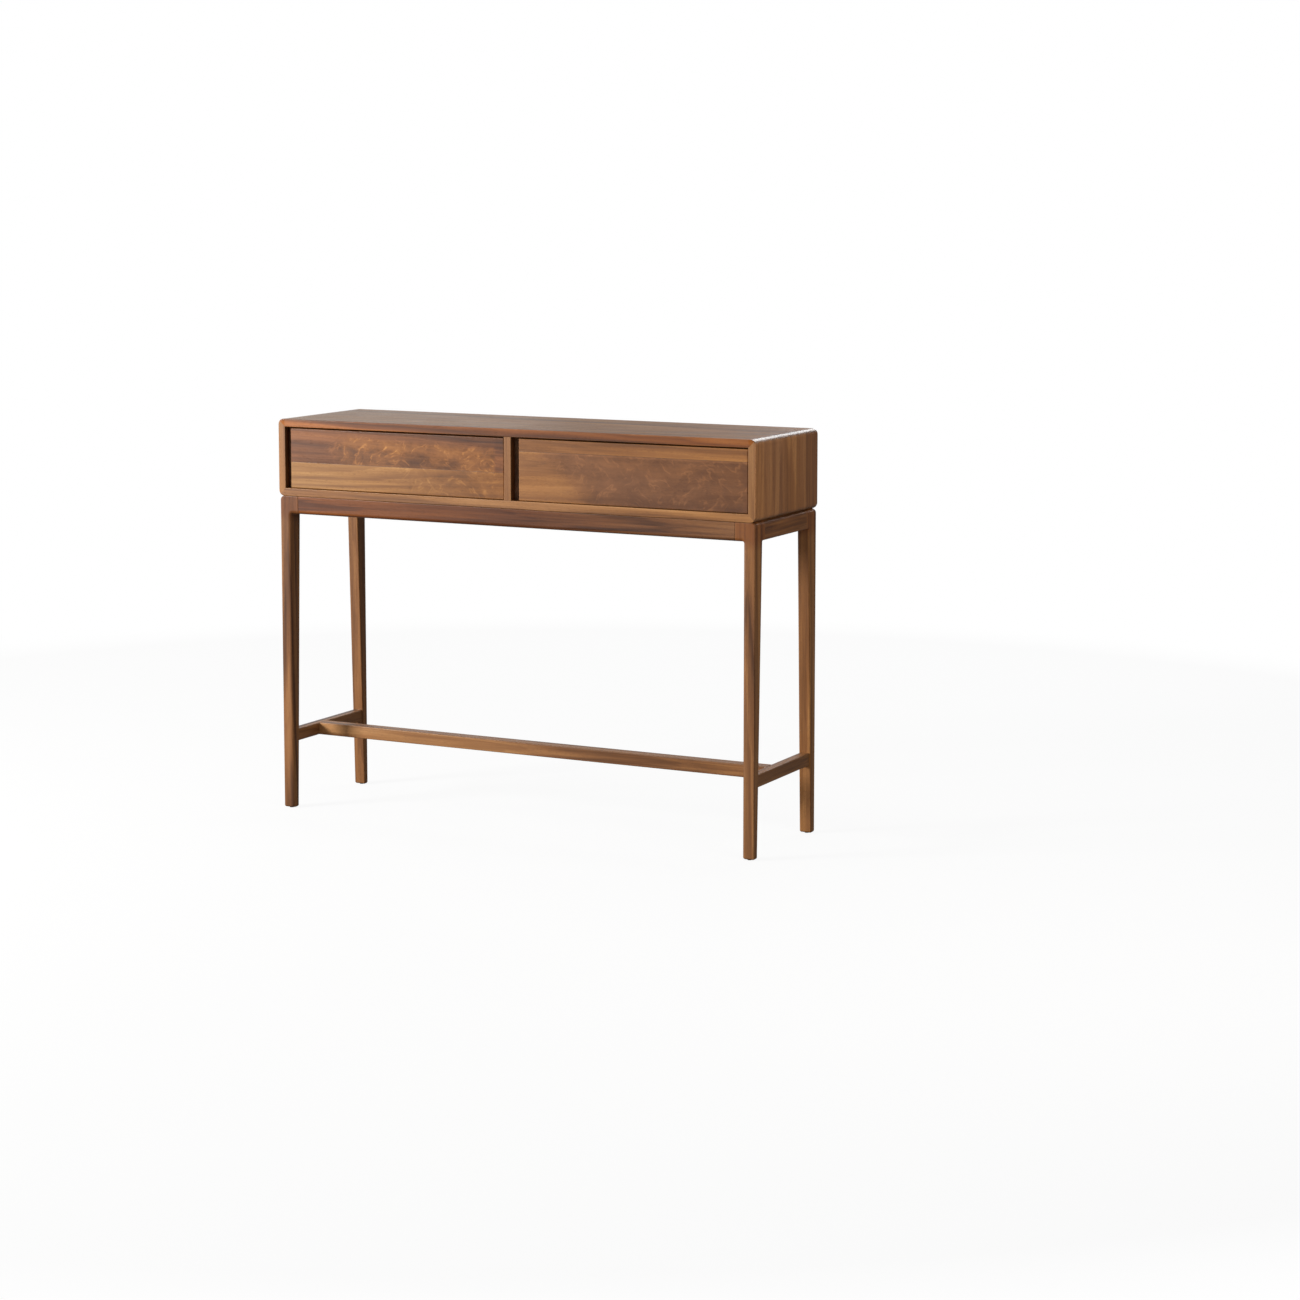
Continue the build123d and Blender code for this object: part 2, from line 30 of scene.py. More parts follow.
class Nodes:
    """Adds nodes to one tree. An input is a number, a tuple or another node's output socket."""

    def __init__(self, tree):
        self.tree = tree

    def put(self, socket, value):
        if isinstance(value, bpy.types.NodeSocket):
            self.tree.links.new(value, socket)
        else:
            socket.default_value = value

    def add(self, kind, inputs=None, out=0, **settings):
        """Makes a node and gives back one of its outputs."""
        node = self.tree.nodes.new("ShaderNode" + kind)
        for name, value in settings.items():
            setattr(node, name, value)
        for key, value in (inputs or {}).items():
            self.put(node.inputs[key], value)
        return node.outputs[out]

    def end(self, kind, surface):
        """Ends the tree of a Material or a World in its output node."""
        node = self.tree.nodes.new("ShaderNodeOutput" + kind)
        self.tree.links.new(surface, node.inputs["Surface"])

    def principled(self, colour, roughness, height, strength, distance, fixed):
        """Ends a material in its shader. fixed holds the inputs that are the same all over."""
        normal = self.add("Bump", {"Height": height, "Strength": strength, "Distance": distance})
        varied = {"Base Color": colour, "Roughness": roughness, "Normal": normal}
        self.end("Material", self.add("BsdfPrincipled", {**fixed, **varied}))

    def math(self, operation, a, b=0.0, clamp=False):
        return self.add("Math", {0: a, 1: b}, operation=operation, use_clamp=clamp)

    def plus(self, *terms):
        total = terms[0]
        for term in terms[1:]:
            total = self.math("ADD", total, term)
        return total

    def times(self, a, b):
        return self.math("MULTIPLY", a, b)

    def centred(self, value):
        """Noise lies about 0.5. This moves it to lie about 0."""
        return self.math("SUBTRACT", value, 0.5)

    def vector(self, operation, a, b=(0.0, 0.0, 0.0), out=0):
        return self.add("VectorMath", {0: a, 1: b}, out, operation=operation)

    def split(self, vector):
        node = self.tree.nodes.new("ShaderNodeSeparateXYZ")
        self.put(node.inputs[0], vector)
        return node.outputs

    def joined(self, x, y, z):
        return self.add("CombineXYZ", {0: x, 1: y, 2: z})

    def ramp(self, value, low, high, to_low=0.0, to_high=1.0, kind="SMOOTHSTEP"):
        """value runs from low to high, the result from to_low to to_high, and stops there."""
        ends = {"From Min": low, "From Max": high, "To Min": to_low, "To Max": to_high}
        return self.add("MapRange", {"Value": value, **ends}, interpolation_type=kind)

    def noise(self, vector, scale, detail=3.0, roughness=0.55, out=0):
        inputs = {"Vector": vector, "Scale": scale, "Detail": detail, "Roughness": roughness}
        return self.add("TexNoise", inputs, out)

    def stretched(self, vector, factors, detail=2.0, roughness=0.5, out=0):
        """Noise whose lumps are longer along the axes with the smaller factors."""
        return self.noise(self.vector("MULTIPLY", vector, factors), 1.0, detail, roughness, out)

    def wander(self, vector, factors, amount):
        """A smooth random offset, up to about half of amount each way."""
        offset = self.stretched(vector, factors, out=1)
        offset = self.vector("SUBTRACT", offset, (0.5, 0.5, 0.5))
        return self.add("VectorMath", {0: offset, "Scale": amount}, operation="SCALE")

    def blend(self, factor, a, b, how="MIX"):
        """Mixes two colours."""
        return self.add("Mix", {0: factor, 6: a, 7: b}, out=2, data_type="RGBA", blend_type=how)

    def between(self, factor, a, b):
        """Mixes two numbers."""
        return self.add("Mix", {0: factor, 2: a, 3: b}, data_type="FLOAT")

    def colours(self, value, *stops):
        """A colour ramp. Each stop is a place from 0 to 1 and the colour there."""
        node = self.tree.nodes.new("ShaderNodeValToRGB")
        elements = node.color_ramp.elements
        while len(elements) < len(stops):
            elements.new(0.5)
        for element, (place, colour) in zip(elements, stops):
            element.position = place
            element.color = (*colour, 1.0)
        self.put(node.inputs[0], value)
        return node.outputs[0]

    def run(self, value, reach, *colours):
        """Evenly spaced colours, as value goes from -reach to reach."""
        share = self.ramp(value, -reach, reach, kind="LINEAR")
        last = len(colours) - 1
        return self.colours(share, *((number / last, colour) for number, colour in enumerate(colours)))


def emptied(owner):
    """The cleared node tree of a new material or world."""
    owner.use_nodes = True
    owner.node_tree.nodes.clear()
    return Nodes(owner.node_tree)


def new_material(name):
    """A material, its empty tree, and the place of each point in the frame, in metres."""
    material = bpy.data.materials.new(name)
    n = emptied(material)
    return material, n, n.add("TexCoord", out=3)


def dress(node, material):
    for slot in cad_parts[node].material_slots:
        slot.material = material


# ---- Wood ----

def ring_count(n, given, place):
    """How many rings lie between the pith and a place.

    The rings run round a pith line that slopes along the board, so they meet its face in arches.
    """
    bent = n.vector("ADD", given["Place"], n.wander(place, (1.6, 7.0, 7.0), given["Waviness"]))
    x, y, z = n.split(bent)
    depth = n.plus(z, given["Pith"], n.times(x, given["Slope"]))
    radius = n.math("SQRT", n.plus(n.times(y, y), n.times(depth, depth)))
    ripple = n.stretched(place, (5.0, 60.0, 60.0))
    return n.plus(n.times(radius, given["Rings"]), n.times(ripple, 0.9), n.times(given["Seed"], 5.3))


def curly_figure(n, place):
    """Thin light curls on two slants, broken up, over slow clouds of light and dark."""
    swirled = n.vector("ADD", place, n.wander(place, (9.0, 13.0, 13.0), 0.055))
    curls = []
    for angle, offset in ((0.70, 0.0), (-0.62, 4.0)):
        turned = n.add("VectorRotate", {"Vector": swirled, "Angle": angle}, rotation_type="Z_AXIS")
        turned = n.vector("MULTIPLY", turned, (20.0, 50.0, 30.0))
        wave = n.noise(n.vector("ADD", turned, (offset, offset, 0.0)), 1.0, 2.0, 0.5)
        off_crest = n.math("ABSOLUTE", n.math("SUBTRACT", wave, 0.52))
        crest = n.ramp(off_crest, 0.050, 0.0)
        curls.append(n.plus(n.times(crest, 0.40), n.times(n.centred(wave), 0.5)))
    slant = n.ramp(n.stretched(place, (14.0, 18.0, 18.0)), 0.44, 0.56)
    broken = n.ramp(n.stretched(place, (38.0, 48.0, 48.0)), 0.42, 0.58, 0.05, 1.0)
    cloud = n.stretched(swirled, (17.0, 26.0, 26.0), 4.0, 0.62)
    curl = n.between(slant, curls[0], curls[1])
    return n.plus(n.times(curl, broken), n.times(n.centred(cloud), 1.1), -0.05)


def wood_group():
    """Solid wood in a board's own axes: X along the grain, Y across the face, Z into the board.

    Tone is light and dark in rings and streaks, Pores the short open vessels, Fibre the fine grain
    and Figure the curls and clouds of figured wood.
    """
    group = bpy.data.node_groups.new("wood", "ShaderNodeTree")
    group.interface.new_socket(name="Place", in_out="INPUT", socket_type="NodeSocketVector")
    for name in ("Seed", "Rings", "Pith", "Slope", "Waviness"):
        group.interface.new_socket(name=name, in_out="INPUT", socket_type="NodeSocketFloat")
    for name in ("Tone", "Pores", "Fibre", "Figure"):
        group.interface.new_socket(name=name, in_out="OUTPUT", socket_type="NodeSocketFloat")
    n = Nodes(group)
    given = group.nodes.new("NodeGroupInput").outputs
    seed = given["Seed"]
    apart = n.joined(n.times(seed, 3.17), n.times(seed, 1.93), n.times(seed, 2.41))
    place = n.vector("ADD", given["Place"], apart)

    rings = ring_count(n, given, place)
    band = n.add("TexNoise", {"W": rings, "Scale": 0.55, "Detail": 3.0}, noise_dimensions="1D")
    through_ring = n.math("FRACT", rings)
    late_wood = n.times(n.ramp(through_ring, 0.45, 0.93), n.ramp(through_ring, 1.0, 0.95))
    fibre = n.stretched(place, (7.0, 330.0, 330.0), 3.0, 0.6)
    streak = n.stretched(place, (2.2, 62.0, 62.0), 3.0, 0.55)
    tone = n.plus(
        0.5,
        n.times(n.centred(band), 1.15),
        n.times(n.centred(streak), 0.75),
        n.times(n.centred(fibre), 0.40),
        n.times(late_wood, -0.13),
    )

    # Walnut's vessels are dashes a few millimetres long, more of them early in each ring
    vessel = n.ramp(n.stretched(place, (95.0, 2300.0, 2300.0), 1.0), 0.60, 0.70)
    pores = n.times(vessel, n.ramp(through_ring, 0.75, 0.25, 0.35, 1.0))

    result = group.nodes.new("NodeGroupOutput").inputs
    made = {"Tone": tone, "Pores": pores, "Fibre": fibre, "Figure": curly_figure(n, place)}
    for name, value in made.items():
        n.put(result[name], value)
    return group


WOOD = wood_group()

# Each wood's colours, from its darkest streaks to its lightest
WALNUT = ((0.0, (0.050, 0.020, 0.010)), (0.30, (0.160, 0.068, 0.026)), (0.50, (0.268, 0.119, 0.044)),
          (0.72, (0.385, 0.184, 0.068)), (1.0, (0.560, 0.300, 0.125)))
RAW_WALNUT = ((0.0, (0.055, 0.027, 0.017)), (0.5, (0.205, 0.110, 0.062)), (1.0, (0.390, 0.240, 0.140)))
PALE_WOOD = ((0.0, (0.330, 0.215, 0.115)), (0.5, (0.560, 0.405, 0.245)), (1.0, (0.740, 0.590, 0.400)))
BIRCH = ((0.0, (0.400, 0.280, 0.165)), (0.5, (0.620, 0.480, 0.310)), (1.0, (0.780, 0.650, 0.470)))
MAPLE = ((0.0, (0.380, 0.250, 0.130)), (0.5, (0.590, 0.430, 0.260)), (1.0, (0.760, 0.600, 0.410)))

# Marks on any wood; the light edge colour is partly wear and partly a painted highlight
WORN_AND_HIGHLIT_EDGE = (0.78, 0.55, 0.34, 1.0)
OPEN_PORE = (0.030, 0.014, 0.008, 1.0)
GLUE_LINE = (0.045, 0.020, 0.010, 1.0)
WORN_AND_HIGHLIT_WIDTH = 0.0035
GLUE_LINE_EDGES = (0.0002, 0.0007)
RELIEF = 0.00022

# Where the drawer fronts are glued up from two boards, above the middle of the front
LEFT_FRONT_JOINT = -0.0085
RIGHT_FRONT_JOINT = 0.0405


class Look:
    """One board as its recolouring sees it: where a point lies in it, and what may be changed."""

    def __init__(self, n, own, parts, middle_along, half, shift, contrast):
        self.n = n
        self.own = own
        self.along, self.wide, self.deep = parts
        self.middle_along = middle_along
        self.half_along, self.half_wide, self.half_deep = half
        self.shift = shift
        self.contrast = contrast
        self.figure = 0.0
        self.polish = 0.0


def edge_nearness(n, centred, half, reach):
    """1 on a board's edges, falling to 0 at reach from them, whichever way the edge runs."""
    inside = n.vector("SUBTRACT", half, n.vector("ABSOLUTE", centred))
    a, b, c = n.split(inside)
    lower = n.math("MINIMUM", a, b)
    upper = n.math("MAXIMUM", a, b)
    second = n.math("MAXIMUM", lower, n.math("MINIMUM", upper, c))
    return n.ramp(second, 0.0, reach, 1.0, 0.0)


def board(name, node, grain, face, seed, rings=95.0, pith=0.09, slope=0.05, waviness=0.03,
          shift=0.0, contrast=1.0, fine=1.0, staves=(), palette=WALNUT, recolour=None, gloss=0.40,
          edge_wear_and_highlight=0.07):
    """A wood material for one CAD node, in the axes of its own board.

    The wood runs along the axis grain, and the axis face points out of its broad side. rings is
    how many there are in a metre, pith how deep their middle lies, slope how that changes along the
    board, and waviness how far they wander. fine above 1 crowds the grain, and shift and contrast
    change its tone. staves lists where glued boards meet across the face, as (place, shift after it).
    recolour takes the board's Look, may change it, and gives what the wood's colour is multiplied by.
    """
    material, n, place = new_material(name)
    low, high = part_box(node)
    middle = tuple((a + b) / 2.0 for a, b in zip(low, high))
    half = tuple((b - a) / 2.0 for a, b in zip(low, high))
    centred = n.vector("SUBTRACT", place, middle)
    across = ({"X", "Y", "Z"} - {grain, face}).pop()
    order = ["XYZ".index(axis) for axis in (grain, across, face)]
    sides = n.split(centred)
    along, wide, deep = (sides[k] for k in order)
    own = n.joined(along, n.times(wide, fine), n.times(deep, fine))

    glue = None
    for stave_start, stave_shift in staves:
        past = n.math("GREATER_THAN", wide, stave_start)
        seed = n.plus(seed, n.times(past, 7.7))
        shift = n.between(past, shift, stave_shift)
        off_joint = n.math("ABSOLUTE", n.math("SUBTRACT", wide, stave_start))
        line = n.ramp(off_joint, *GLUE_LINE_EDGES, 1.0, 0.0)
        glue = line if glue is None else n.math("MAXIMUM", glue, line)

    wood = n.tree.nodes.new("ShaderNodeGroup")
    wood.node_tree = WOOD
    given = {"Place": own, "Seed": seed, "Rings": rings, "Pith": pith, "Slope": slope, "Waviness": waviness}
    for key, value in given.items():
        n.put(wood.inputs[key], value)
    tone, pores, fibre, figure = (wood.outputs[key] for key in ("Tone", "Pores", "Fibre", "Figure"))

    own_half = [half[k] for k in order]
    look = Look(n, own, (along, wide, deep), middle[order[0]], own_half, shift, contrast)
    change = recolour(look) if recolour else None
    tone = n.plus(
        0.5,
        n.times(n.centred(tone), look.contrast),
        n.times(figure, look.figure),
        look.shift,
    )
    colour = n.colours(n.math("ADD", tone, 0.0, clamp=True), *palette)
    if change is not None:
        colour = n.blend(1.0, colour, change, "MULTIPLY")
    # The hue drifts slowly between orange and purple-brown, as oiled walnut does
    drift = n.stretched(own, (1.5, 9.0, 9.0))
    drift = n.colours(drift, (0.30, (1.06, 0.98, 0.80)), (0.70, (0.98, 0.97, 1.02)))
    colour = n.blend(1.0, colour, drift, "MULTIPLY")
    # The edges are lightened: partly wear, partly a painted highlight along them.
    patchy = n.ramp(n.noise(place, 38.0, 3.0, 0.6), 0.35, 0.65, 0.35, 1.0)
    worn_and_highlit = n.times(edge_nearness(n, centred, half, WORN_AND_HIGHLIT_WIDTH), patchy)
    colour = n.blend(n.times(worn_and_highlit, edge_wear_and_highlight), colour, WORN_AND_HIGHLIT_EDGE)
    colour = n.blend(n.times(pores, 0.55), colour, OPEN_PORE)

    oil = n.stretched(own, (9.0, 14.0, 14.0), 4.0, 0.6)
    roughness = n.plus(
        gloss,
        n.times(n.centred(oil), 0.14),
        n.times(pores, 0.22),
        n.times(n.centred(fibre), 0.10),
        n.times(worn_and_highlit, -0.06),
        n.times(look.polish, -0.20),
    )
    height = n.plus(n.times(fibre, 0.35), n.times(pores, -1.0), n.times(oil, 0.5))
    if glue is not None:
        colour = n.blend(n.times(glue, 0.6), colour, GLUE_LINE)
        height = n.plus(height, n.times(glue, -1.2))
    n.principled(colour, roughness, height, 0.35, RELIEF, {"IOR": 1.47, "Specular IOR Level": 0.36})
    dress(node, material)


# ---- How single boards differ from plain walnut, with some light and shade painted on them ----

def top_look(look):
    """The top's upper face is tinted olive, partly as painted sheen, its front edge carries painted light,
    light orange at the lit left and browner towards the right, and its ends shine.
    """
    n = look.n
    # The olive tint of the upper face stands partly for painted sheen.
    face = n.run(look.along, look.half_along, (1.02, 1.10, 0.92), (1.10, 1.08, 0.90))
    # Painted light: the front edge is light orange at the lit left and falls off to brown towards the
    # right.
    brown_from = look.half_along / 3.0
    painted_falloff = n.ramp(look.along, -look.half_along, brown_from, kind="LINEAR")
    edge = n.colours(painted_falloff, (0.0, (1.38, 1.02, 0.55)), (1.0, (0.76, 0.54, 0.32)))
    from_middle = n.math("ABSOLUTE", look.along)
    look.polish = n.ramp(from_middle, look.half_along - 0.016, look.half_along - 0.011)
    at_front = n.ramp(look.wide, 0.0070 - look.half_wide, 0.0035 - look.half_wide)
    return n.blend(at_front, face, edge)


def left_front_look(look):
    """The left drawer front: a purple-brown board with a feathery patch, over a lighter tan one."""
    n = look.n
    x, up = look.along, look.wide
    rag = n.times(n.centred(n.stretched(look.own, (9.0, 26.0, 1.0), 4.0, 0.6)), 0.16)
    ragged_x = n.plus(x, rag)
    upper = n.math("GREATER_THAN", up, LEFT_FRONT_JOINT)
    # The upper board is plain at its left, just under the top and in the block at its right
    upper_patch = n.times(n.ramp(ragged_x, -0.19, -0.11), n.ramp(x, 0.262, 0.250))
    below_top = n.plus(up, n.times(rag, 0.15), n.times(x, 0.03))
    upper_patch = n.times(upper_patch, n.ramp(below_top, 0.060, 0.040))
    block = n.ramp(x, 0.250, 0.262)
    # The lower board is figured towards the right
    lower_patch = n.times(n.ramp(ragged_x, -0.04, 0.10), n.ramp(ragged_x, 0.29, 0.21, 0.4, 1.0))
    look.figure = n.between(upper, n.times(lower_patch, 0.55), n.times(upper_patch, 0.92))
    look.contrast = n.ramp(look.figure, 0.0, 0.6, 0.80, 0.40)
    lower_shift = n.ramp(x, -0.25, 0.20, 0.18, 0.07)
    upper_shift = n.plus(n.times(upper_patch, 0.11), n.times(block, -0.06), -0.11)
    look.shift = n.between(upper, lower_shift, upper_shift)
    purple = n.colours(upper_patch, (0.0, (0.91, 0.75, 0.66)), (1.0, (0.90, 0.76, 0.50)))
    tan = n.run(x, 0.28, (1.0, 1.05, 0.95), (0.96, 0.84, 0.56))
    return n.blend(upper, tan, purple)


def right_front_look(look):
    """The right drawer front: a strip on top, tan wood at the lower left, the rest purple-brown."""
    n = look.n
    x, up = look.along, look.wide
    rag = n.times(n.centred(n.stretched(look.own, (8.0, 20.0, 1.0), 4.0, 0.6)), 0.16)
    strip = n.math("GREATER_THAN", up, RIGHT_FRONT_JOINT)
    below = n.math("SUBTRACT", 1.0, strip)
    slant = n.plus(x, n.times(up, 1.1), rag)
    purple = n.times(n.ramp(slant, -0.23, -0.09), below)
    look.figure = n.plus(n.times(purple, 0.29), 0.08)
    look.contrast = n.ramp(purple, 0.0, 1.0, 0.60, 0.22)
    lighter_left = n.times(n.ramp(slant, -0.14, -0.24, 0.0, 0.12), below)
    light_line = n.times(n.ramp(up, 0.0345, 0.0385), below)
    darker_foot = n.times(n.ramp(up, -0.035, -0.068, 0.0, -0.07), purple)
    lighter_strip_end = n.times(n.ramp(x, -0.25, 0.25), n.times(strip, 0.17))
    look.shift = n.plus(
        n.times(purple, -0.10),
        lighter_left,
        n.times(strip, -0.02),
        n.times(light_line, 0.10),
        darker_foot,
        lighter_strip_end,
        -0.04,
    )
    return n.colours(purple, (0.0, (1.02, 0.95, 0.78)), (1.0, (0.97, 0.92, 0.96)))


def painted_light_end_look(look):
    """The outside of the case's right end is painted lighter than its front edge: painted light, as if more
    light fell on that end.
    """
    n = look.n
    outside = n.ramp(look.deep, look.half_deep - 0.0030, look.half_deep - 0.0002)
    return n.colours(outside, (0.0, (1.0, 1.06, 1.12)), (1.0, (1.60, 1.60, 1.72)))


def gap_shade_look(look):
    """A board's right face, beside a finger gap, is darkened with painted shade so that the gap looks deep.
    """
    n = look.n
    in_gap_shade = n.ramp(look.deep, look.half_deep - 0.0006, look.half_deep - 0.0002)
    return n.colours(in_gap_shade, (0.0, (1.0, 1.0, 1.0)), (1.0, (0.30, 0.27, 0.25)))


def leg_look(look):
    """The top of a leg, between the aprons, darkens towards their tone."""
    n = look.n
    apron_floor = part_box("apron_front")[0][2] - look.middle_along
    beside = n.ramp(look.along, apron_floor - 0.025, apron_floor + 0.005)
    return n.colours(beside, (0.0, (1.0, 0.98, 0.94)), (1.0, (0.80, 0.64, 0.50)))


def front_apron_look(look):
    """The front apron goes from orange-brown through dark brown to grey-brown."""
    orange, dark, grey = (0.74, 0.50, 0.30), (0.50, 0.33, 0.22), (0.78, 0.78, 0.88)
    return look.n.run(look.along, look.half_along, orange, dark, grey)


def other_apron_look(look):
    """The other aprons are a little warmer than plain walnut."""
    return (1.05, 0.98, 0.92, 1.0)


# ---- The case ----

board("walnut_top", "case_top", "X", "Z", 1.0, rings=85.0, pith=0.13, slope=0.035, contrast=0.8,
      staves=((-0.048, 0.02), (0.062, -0.03)), recolour=top_look)
board("walnut_bottom", "case_bottom", "X", "Z", 2.0, rings=90.0, pith=0.10, shift=0.04, contrast=0.95,
      fine=2.2)
# The left side's inner right face gets painted shade, beside the left finger gap.
board("walnut_left_side", "case_left_side", "Z", "X", 3.0, rings=80.0, pith=0.10, shift=0.07,
      contrast=0.75, staves=((0.03, -0.02),), recolour=gap_shade_look)
# The right end's outer face carries painted light.
board("walnut_right_side", "case_right_side", "Z", "X", 4.0, rings=80.0, pith=0.10, shift=0.06,
      contrast=0.6, staves=((0.018, 0.10), (0.048, -0.02), (0.12, -0.10)), recolour=painted_light_end_look)
# The divider's right face gets painted shade, beside the right finger gap.
board("walnut_divider", "case_divider", "Z", "X", 5.0, rings=80.0, shift=0.19, contrast=0.7, fine=1.6,
      recolour=gap_shade_look)
board("walnut_left_front", "drawer_left_front", "X", "Y", 6.0, rings=70.0, pith=0.05, slope=0.06,
      staves=((LEFT_FRONT_JOINT, 0.0),), recolour=left_front_look)
board("walnut_right_front", "drawer_right_front", "X", "Y", 7.3, rings=75.0, pith=0.08,
      staves=((RIGHT_FRONT_JOINT, 0.0),), recolour=right_front_look)
board("back_veneer", "case_back_panel", "X", "Y", 8.0, rings=60.0, pith=0.06, slope=0.09, contrast=0.8,
      gloss=0.55)

# ---- The stand ----

LEG_SHIFTS = {"front_left": -0.07, "front_right": 0.05, "back_left": -0.04, "back_right": 0.12}
for number, (leg, shift) in enumerate(LEG_SHIFTS.items()):
    board("walnut_leg_" + leg, "leg_" + leg, "Z", "Y", 11.0 + number * 1.37, rings=90.0, pith=0.12,
          slope=0.03, shift=shift, contrast=0.9, fine=1.5, recolour=leg_look)

APRONS = (
    ("front", "X", "Y", -0.08, front_apron_look),
    ("back", "X", "Y", -0.05, other_apron_look),
    ("left", "Y", "X", -0.05, other_apron_look),
    ("right", "Y", "X", -0.05, other_apron_look),
)
for number, (side, grain, face, shift, recolour) in enumerate(APRONS):
    board("walnut_apron_" + side, "apron_" + side, grain, face, 17.0 + number * 1.61, rings=120.0,
          pith=0.25, slope=0.02, waviness=0.012, shift=shift, fine=2.2, recolour=recolour)

# The left stretcher's shift of -0.17 is painted shade: it darkens the whole stretcher to stand for the
# shade it lies in.
STRETCHERS = (("left", "Y", "X", -0.17), ("right", "Y", "X", 0.04), ("centre", "X", "Y", 0.06))
for number, (which, grain, face, shift) in enumerate(STRETCHERS):
    board("walnut_stretcher_" + which, "stretcher_" + which, grain, face, 23.0 + number * 1.83,
          rings=90.0, slope=0.03, shift=shift, contrast=0.95, fine=1.7)

# ---- Inside ----

HIDDEN_PIECES = (
    ("spacer_left_bay", "X", RAW_WALNUT),
    ("spacer_right_bay", "X", RAW_WALNUT),
    ("cross_rail_left", "Z", RAW_WALNUT),
    ("cross_rail_right", "Z", RAW_WALNUT),
    ("mitre_splines", "X", RAW_WALNUT),
    ("runner_rails_left_bay", "X", MAPLE),
    ("runner_rails_right_bay", "X", MAPLE),
)
for number, (node, face, palette) in enumerate(HIDDEN_PIECES):
    board("inner_" + node, node, "Y", face, 31.0 + number * 1.21, rings=120.0, contrast=0.8,
          palette=palette, gloss=0.5, edge_wear_and_highlight=0.03)

DRAWER_BOX = (
    ("left_side", "Y", "X", PALE_WOOD),
    ("right_side", "Y", "X", PALE_WOOD),
    ("back", "X", "Y", PALE_WOOD),
    ("bottom", "X", "Z", BIRCH),
)
for number, side in enumerate(("left", "right")):
    for step, (part, grain, face, palette) in enumerate(DRAWER_BOX):
        node = "drawer_%s_%s" % (side, part)
        board("box_" + node, node, grain, face, 41.0 + number * 5.3 + step * 1.13, rings=100.0,
              pith=0.08, contrast=0.45, palette=palette, gloss=0.46, edge_wear_and_highlight=0.03)


# ---- Screws and foot pads ----

def zinc():
    """Zinc plate on steel: mottled grey, finely brushed."""
    material, n, place = new_material("zinc")
    mottle = n.noise(place, 900.0)
    colour = n.colours(mottle, (0.35, (0.42, 0.41, 0.38)), (0.65, (0.66, 0.65, 0.62)))
    roughness = n.ramp(n.noise(place, 1500.0, 2.0), 0.35, 0.65, 0.26, 0.48)
    brushing = n.noise(n.vector("MULTIPLY", place, (1.0, 1.0, 6.0)), 1200.0, 2.0)
    n.principled(colour, roughness, brushing, 0.5, 0.00004, {"Metallic": 1.0})
    return material


def felt():
    """Dark brown felt: a mat of fibres with a soft sheen."""
    material, n, place = new_material("felt")
    fibres = n.noise(place, 2200.0, 4.0, 0.7)
    colour = n.colours(fibres, (0.3, (0.030, 0.022, 0.016)), (0.7, (0.085, 0.064, 0.048)))
    roughness = n.ramp(n.noise(place, 1800.0), 0.3, 0.7, 0.85, 1.0)
    nap = n.noise(place, 3000.0, 4.0, 0.7)
    n.principled(colour, roughness, nap, 0.5, 0.0003, {"Sheen Weight": 0.3})
    return material


steel = zinc()
for node in ("back_panel_screws", "runner_rail_screws", "spacer_screws", "case_fixing_screws"):
    dress(node, steel)
dress("foot_pads", felt())


# ---- Floor, studio, lights and camera ----

FLOOR_RADIUS = 9.0
FLOOR_STEPS = 96
FLOOR_FADE = (1.2, 3.2)


def floor_material():
    """Pale matt ground that fades to white. It throws less light on the table than it looks to."""
    material, n, spot = new_material("floor")
    seen = n.add("LightPath", out=0)
    mottle = n.noise(spot, 3.0)
    pale = n.colours(mottle, (0.3, (0.86, 0.86, 0.86)), (0.7, (0.88, 0.88, 0.88)))
    ground = n.blend(seen, (0.22, 0.21, 0.20, 1.0), pale)
    matt = n.add("BsdfPrincipled", {"Base Color": ground, "Roughness": 0.9, "Specular IOR Level": 0.1})
    glow = n.add("Emission", {"Color": (1.0, 1.0, 1.0, 1.0), "Strength": n.between(seen, 0.12, 1.0)})
    fade = n.ramp(n.vector("LENGTH", spot, out=1), *FLOOR_FADE)
    share = n.between(seen, fade, n.math("MAXIMUM", fade, 0.90))
    n.end("Material", n.add("MixShader", {0: share, 1: matt, 2: glow}))
    return material


def add_floor():
    """A round floor at the table's feet."""
    turn = 2.0 * math.pi / FLOOR_STEPS
    rim = []
    for step in range(FLOOR_STEPS):
        rim.append((FLOOR_RADIUS * math.cos(turn * step), FLOOR_RADIUS * math.sin(turn * step), 0.0))
    mesh = bpy.data.meshes.new("floor")
    mesh.from_pydata(rim, [], [tuple(range(FLOOR_STEPS))])
    mesh.materials.append(floor_material())
    floor = bpy.data.objects.new("floor", mesh)
    scene.collection.objects.link(floor)


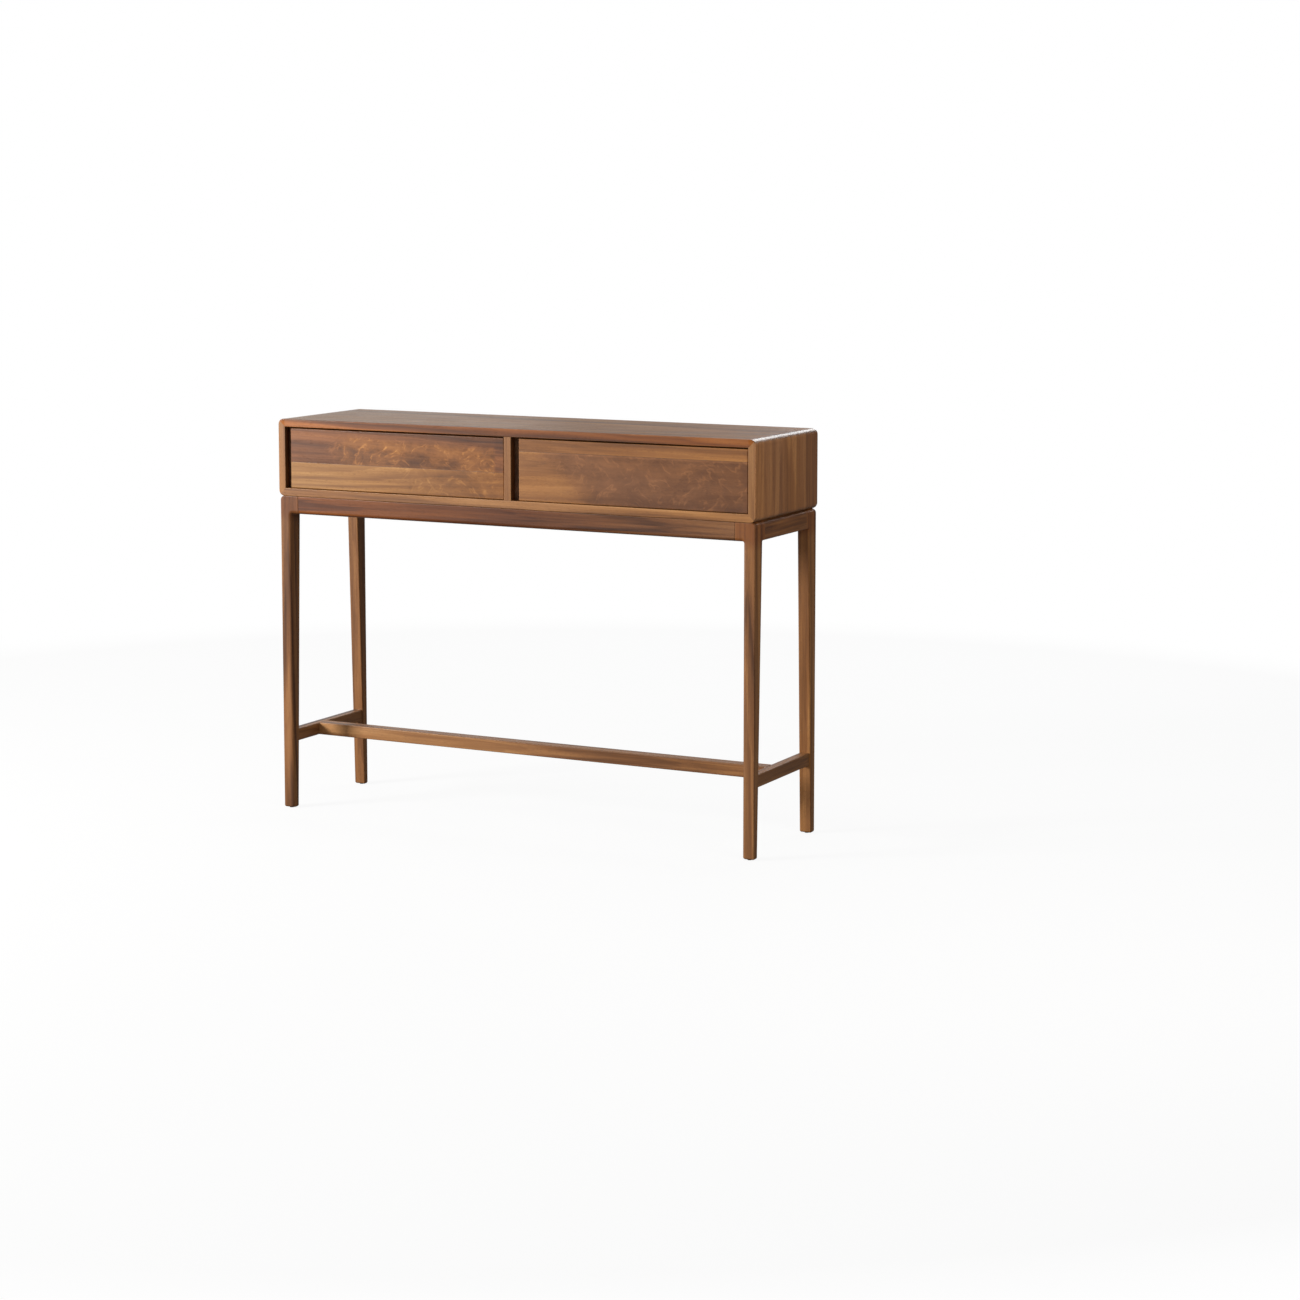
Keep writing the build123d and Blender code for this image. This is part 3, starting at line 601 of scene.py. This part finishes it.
def add_studio():
    """The studio's walls: white to look at, and giving more light from the left than the right."""
    world = bpy.data.worlds.new("studio")
    scene.world = world
    n = emptied(world)
    seen = n.add("LightPath", out=0)
    x, _, z = n.split(n.add("TexCoord", out=0))
    fill = n.plus(0.28, n.times(x, -0.45), n.times(z, 0.16))
    fill = n.math("MAXIMUM", fill, 0.04)
    strength = n.between(seen, fill, 1.0)
    n.end("World", n.add("Background", {"Color": (1.0, 1.0, 1.0, 1.0), "Strength": strength}))


def soft_light(name, at, aim, size, power, colour=(1.0, 1.0, 1.0)):
    """A rectangular lamp at one place, aimed at another. Size is in metres and power in watts."""
    data = bpy.data.lights.new(name, "AREA")
    data.shape = "RECTANGLE"
    data.size, data.size_y = size
    data.energy = power
    data.color = colour
    light = bpy.data.objects.new(name, data)
    light.location = at
    x, y, z = (b - a for a, b in zip(at, aim))
    light.rotation_euler = (math.atan2(math.hypot(x, y), -z), 0.0, math.atan2(-x, y))
    light.visible_camera = False
    scene.collection.objects.link(light)


CAMERA_PLACE = (3.2320, -5.7815, 1.4549)
CAMERA_TURN = 0.4736
CAMERA_DIP = 0.1094
CAMERA_SENSOR = 36.0
CAMERA_LENS = 82.37
CAMERA_SHIFT = -0.1154
CAMERA_REACH = 60.0


def add_camera():
    """The camera stands to the right of the table's front and looks slightly down."""
    data = bpy.data.cameras.new("camera")
    data.sensor_width = CAMERA_SENSOR
    data.lens = CAMERA_LENS
    data.shift_y = CAMERA_SHIFT
    data.clip_end = CAMERA_REACH
    camera = bpy.data.objects.new("camera", data)
    camera.location = CAMERA_PLACE
    camera.rotation_euler = (math.pi / 2.0 - CAMERA_DIP, 0.0, CAMERA_TURN)
    scene.collection.objects.link(camera)
    scene.camera = camera


add_floor()
add_studio()
soft_light("key", (-3.3, -3.2, 1.75), (-0.1, 0.0, 0.65), (1.1, 1.1), 240.0, (1.0, 0.985, 0.96))
soft_light("right_fill", (2.1, -0.9, 1.5), (0.4, 0.0, 0.8), (0.9, 1.2), 12.0, (1.0, 0.96, 0.90))
soft_light("back_fill", (0.3, 3.3, 2.4), (0.0, 0.0, 0.8), (2.2, 0.8), 26.0, (0.93, 0.97, 1.0))
soft_light("back_left", (-2.6, 2.5, 1.5), (-0.2, 0.0, 0.9), (2.2, 1.2), 5.0)
add_camera()
scene.view_settings.view_transform = "Standard"
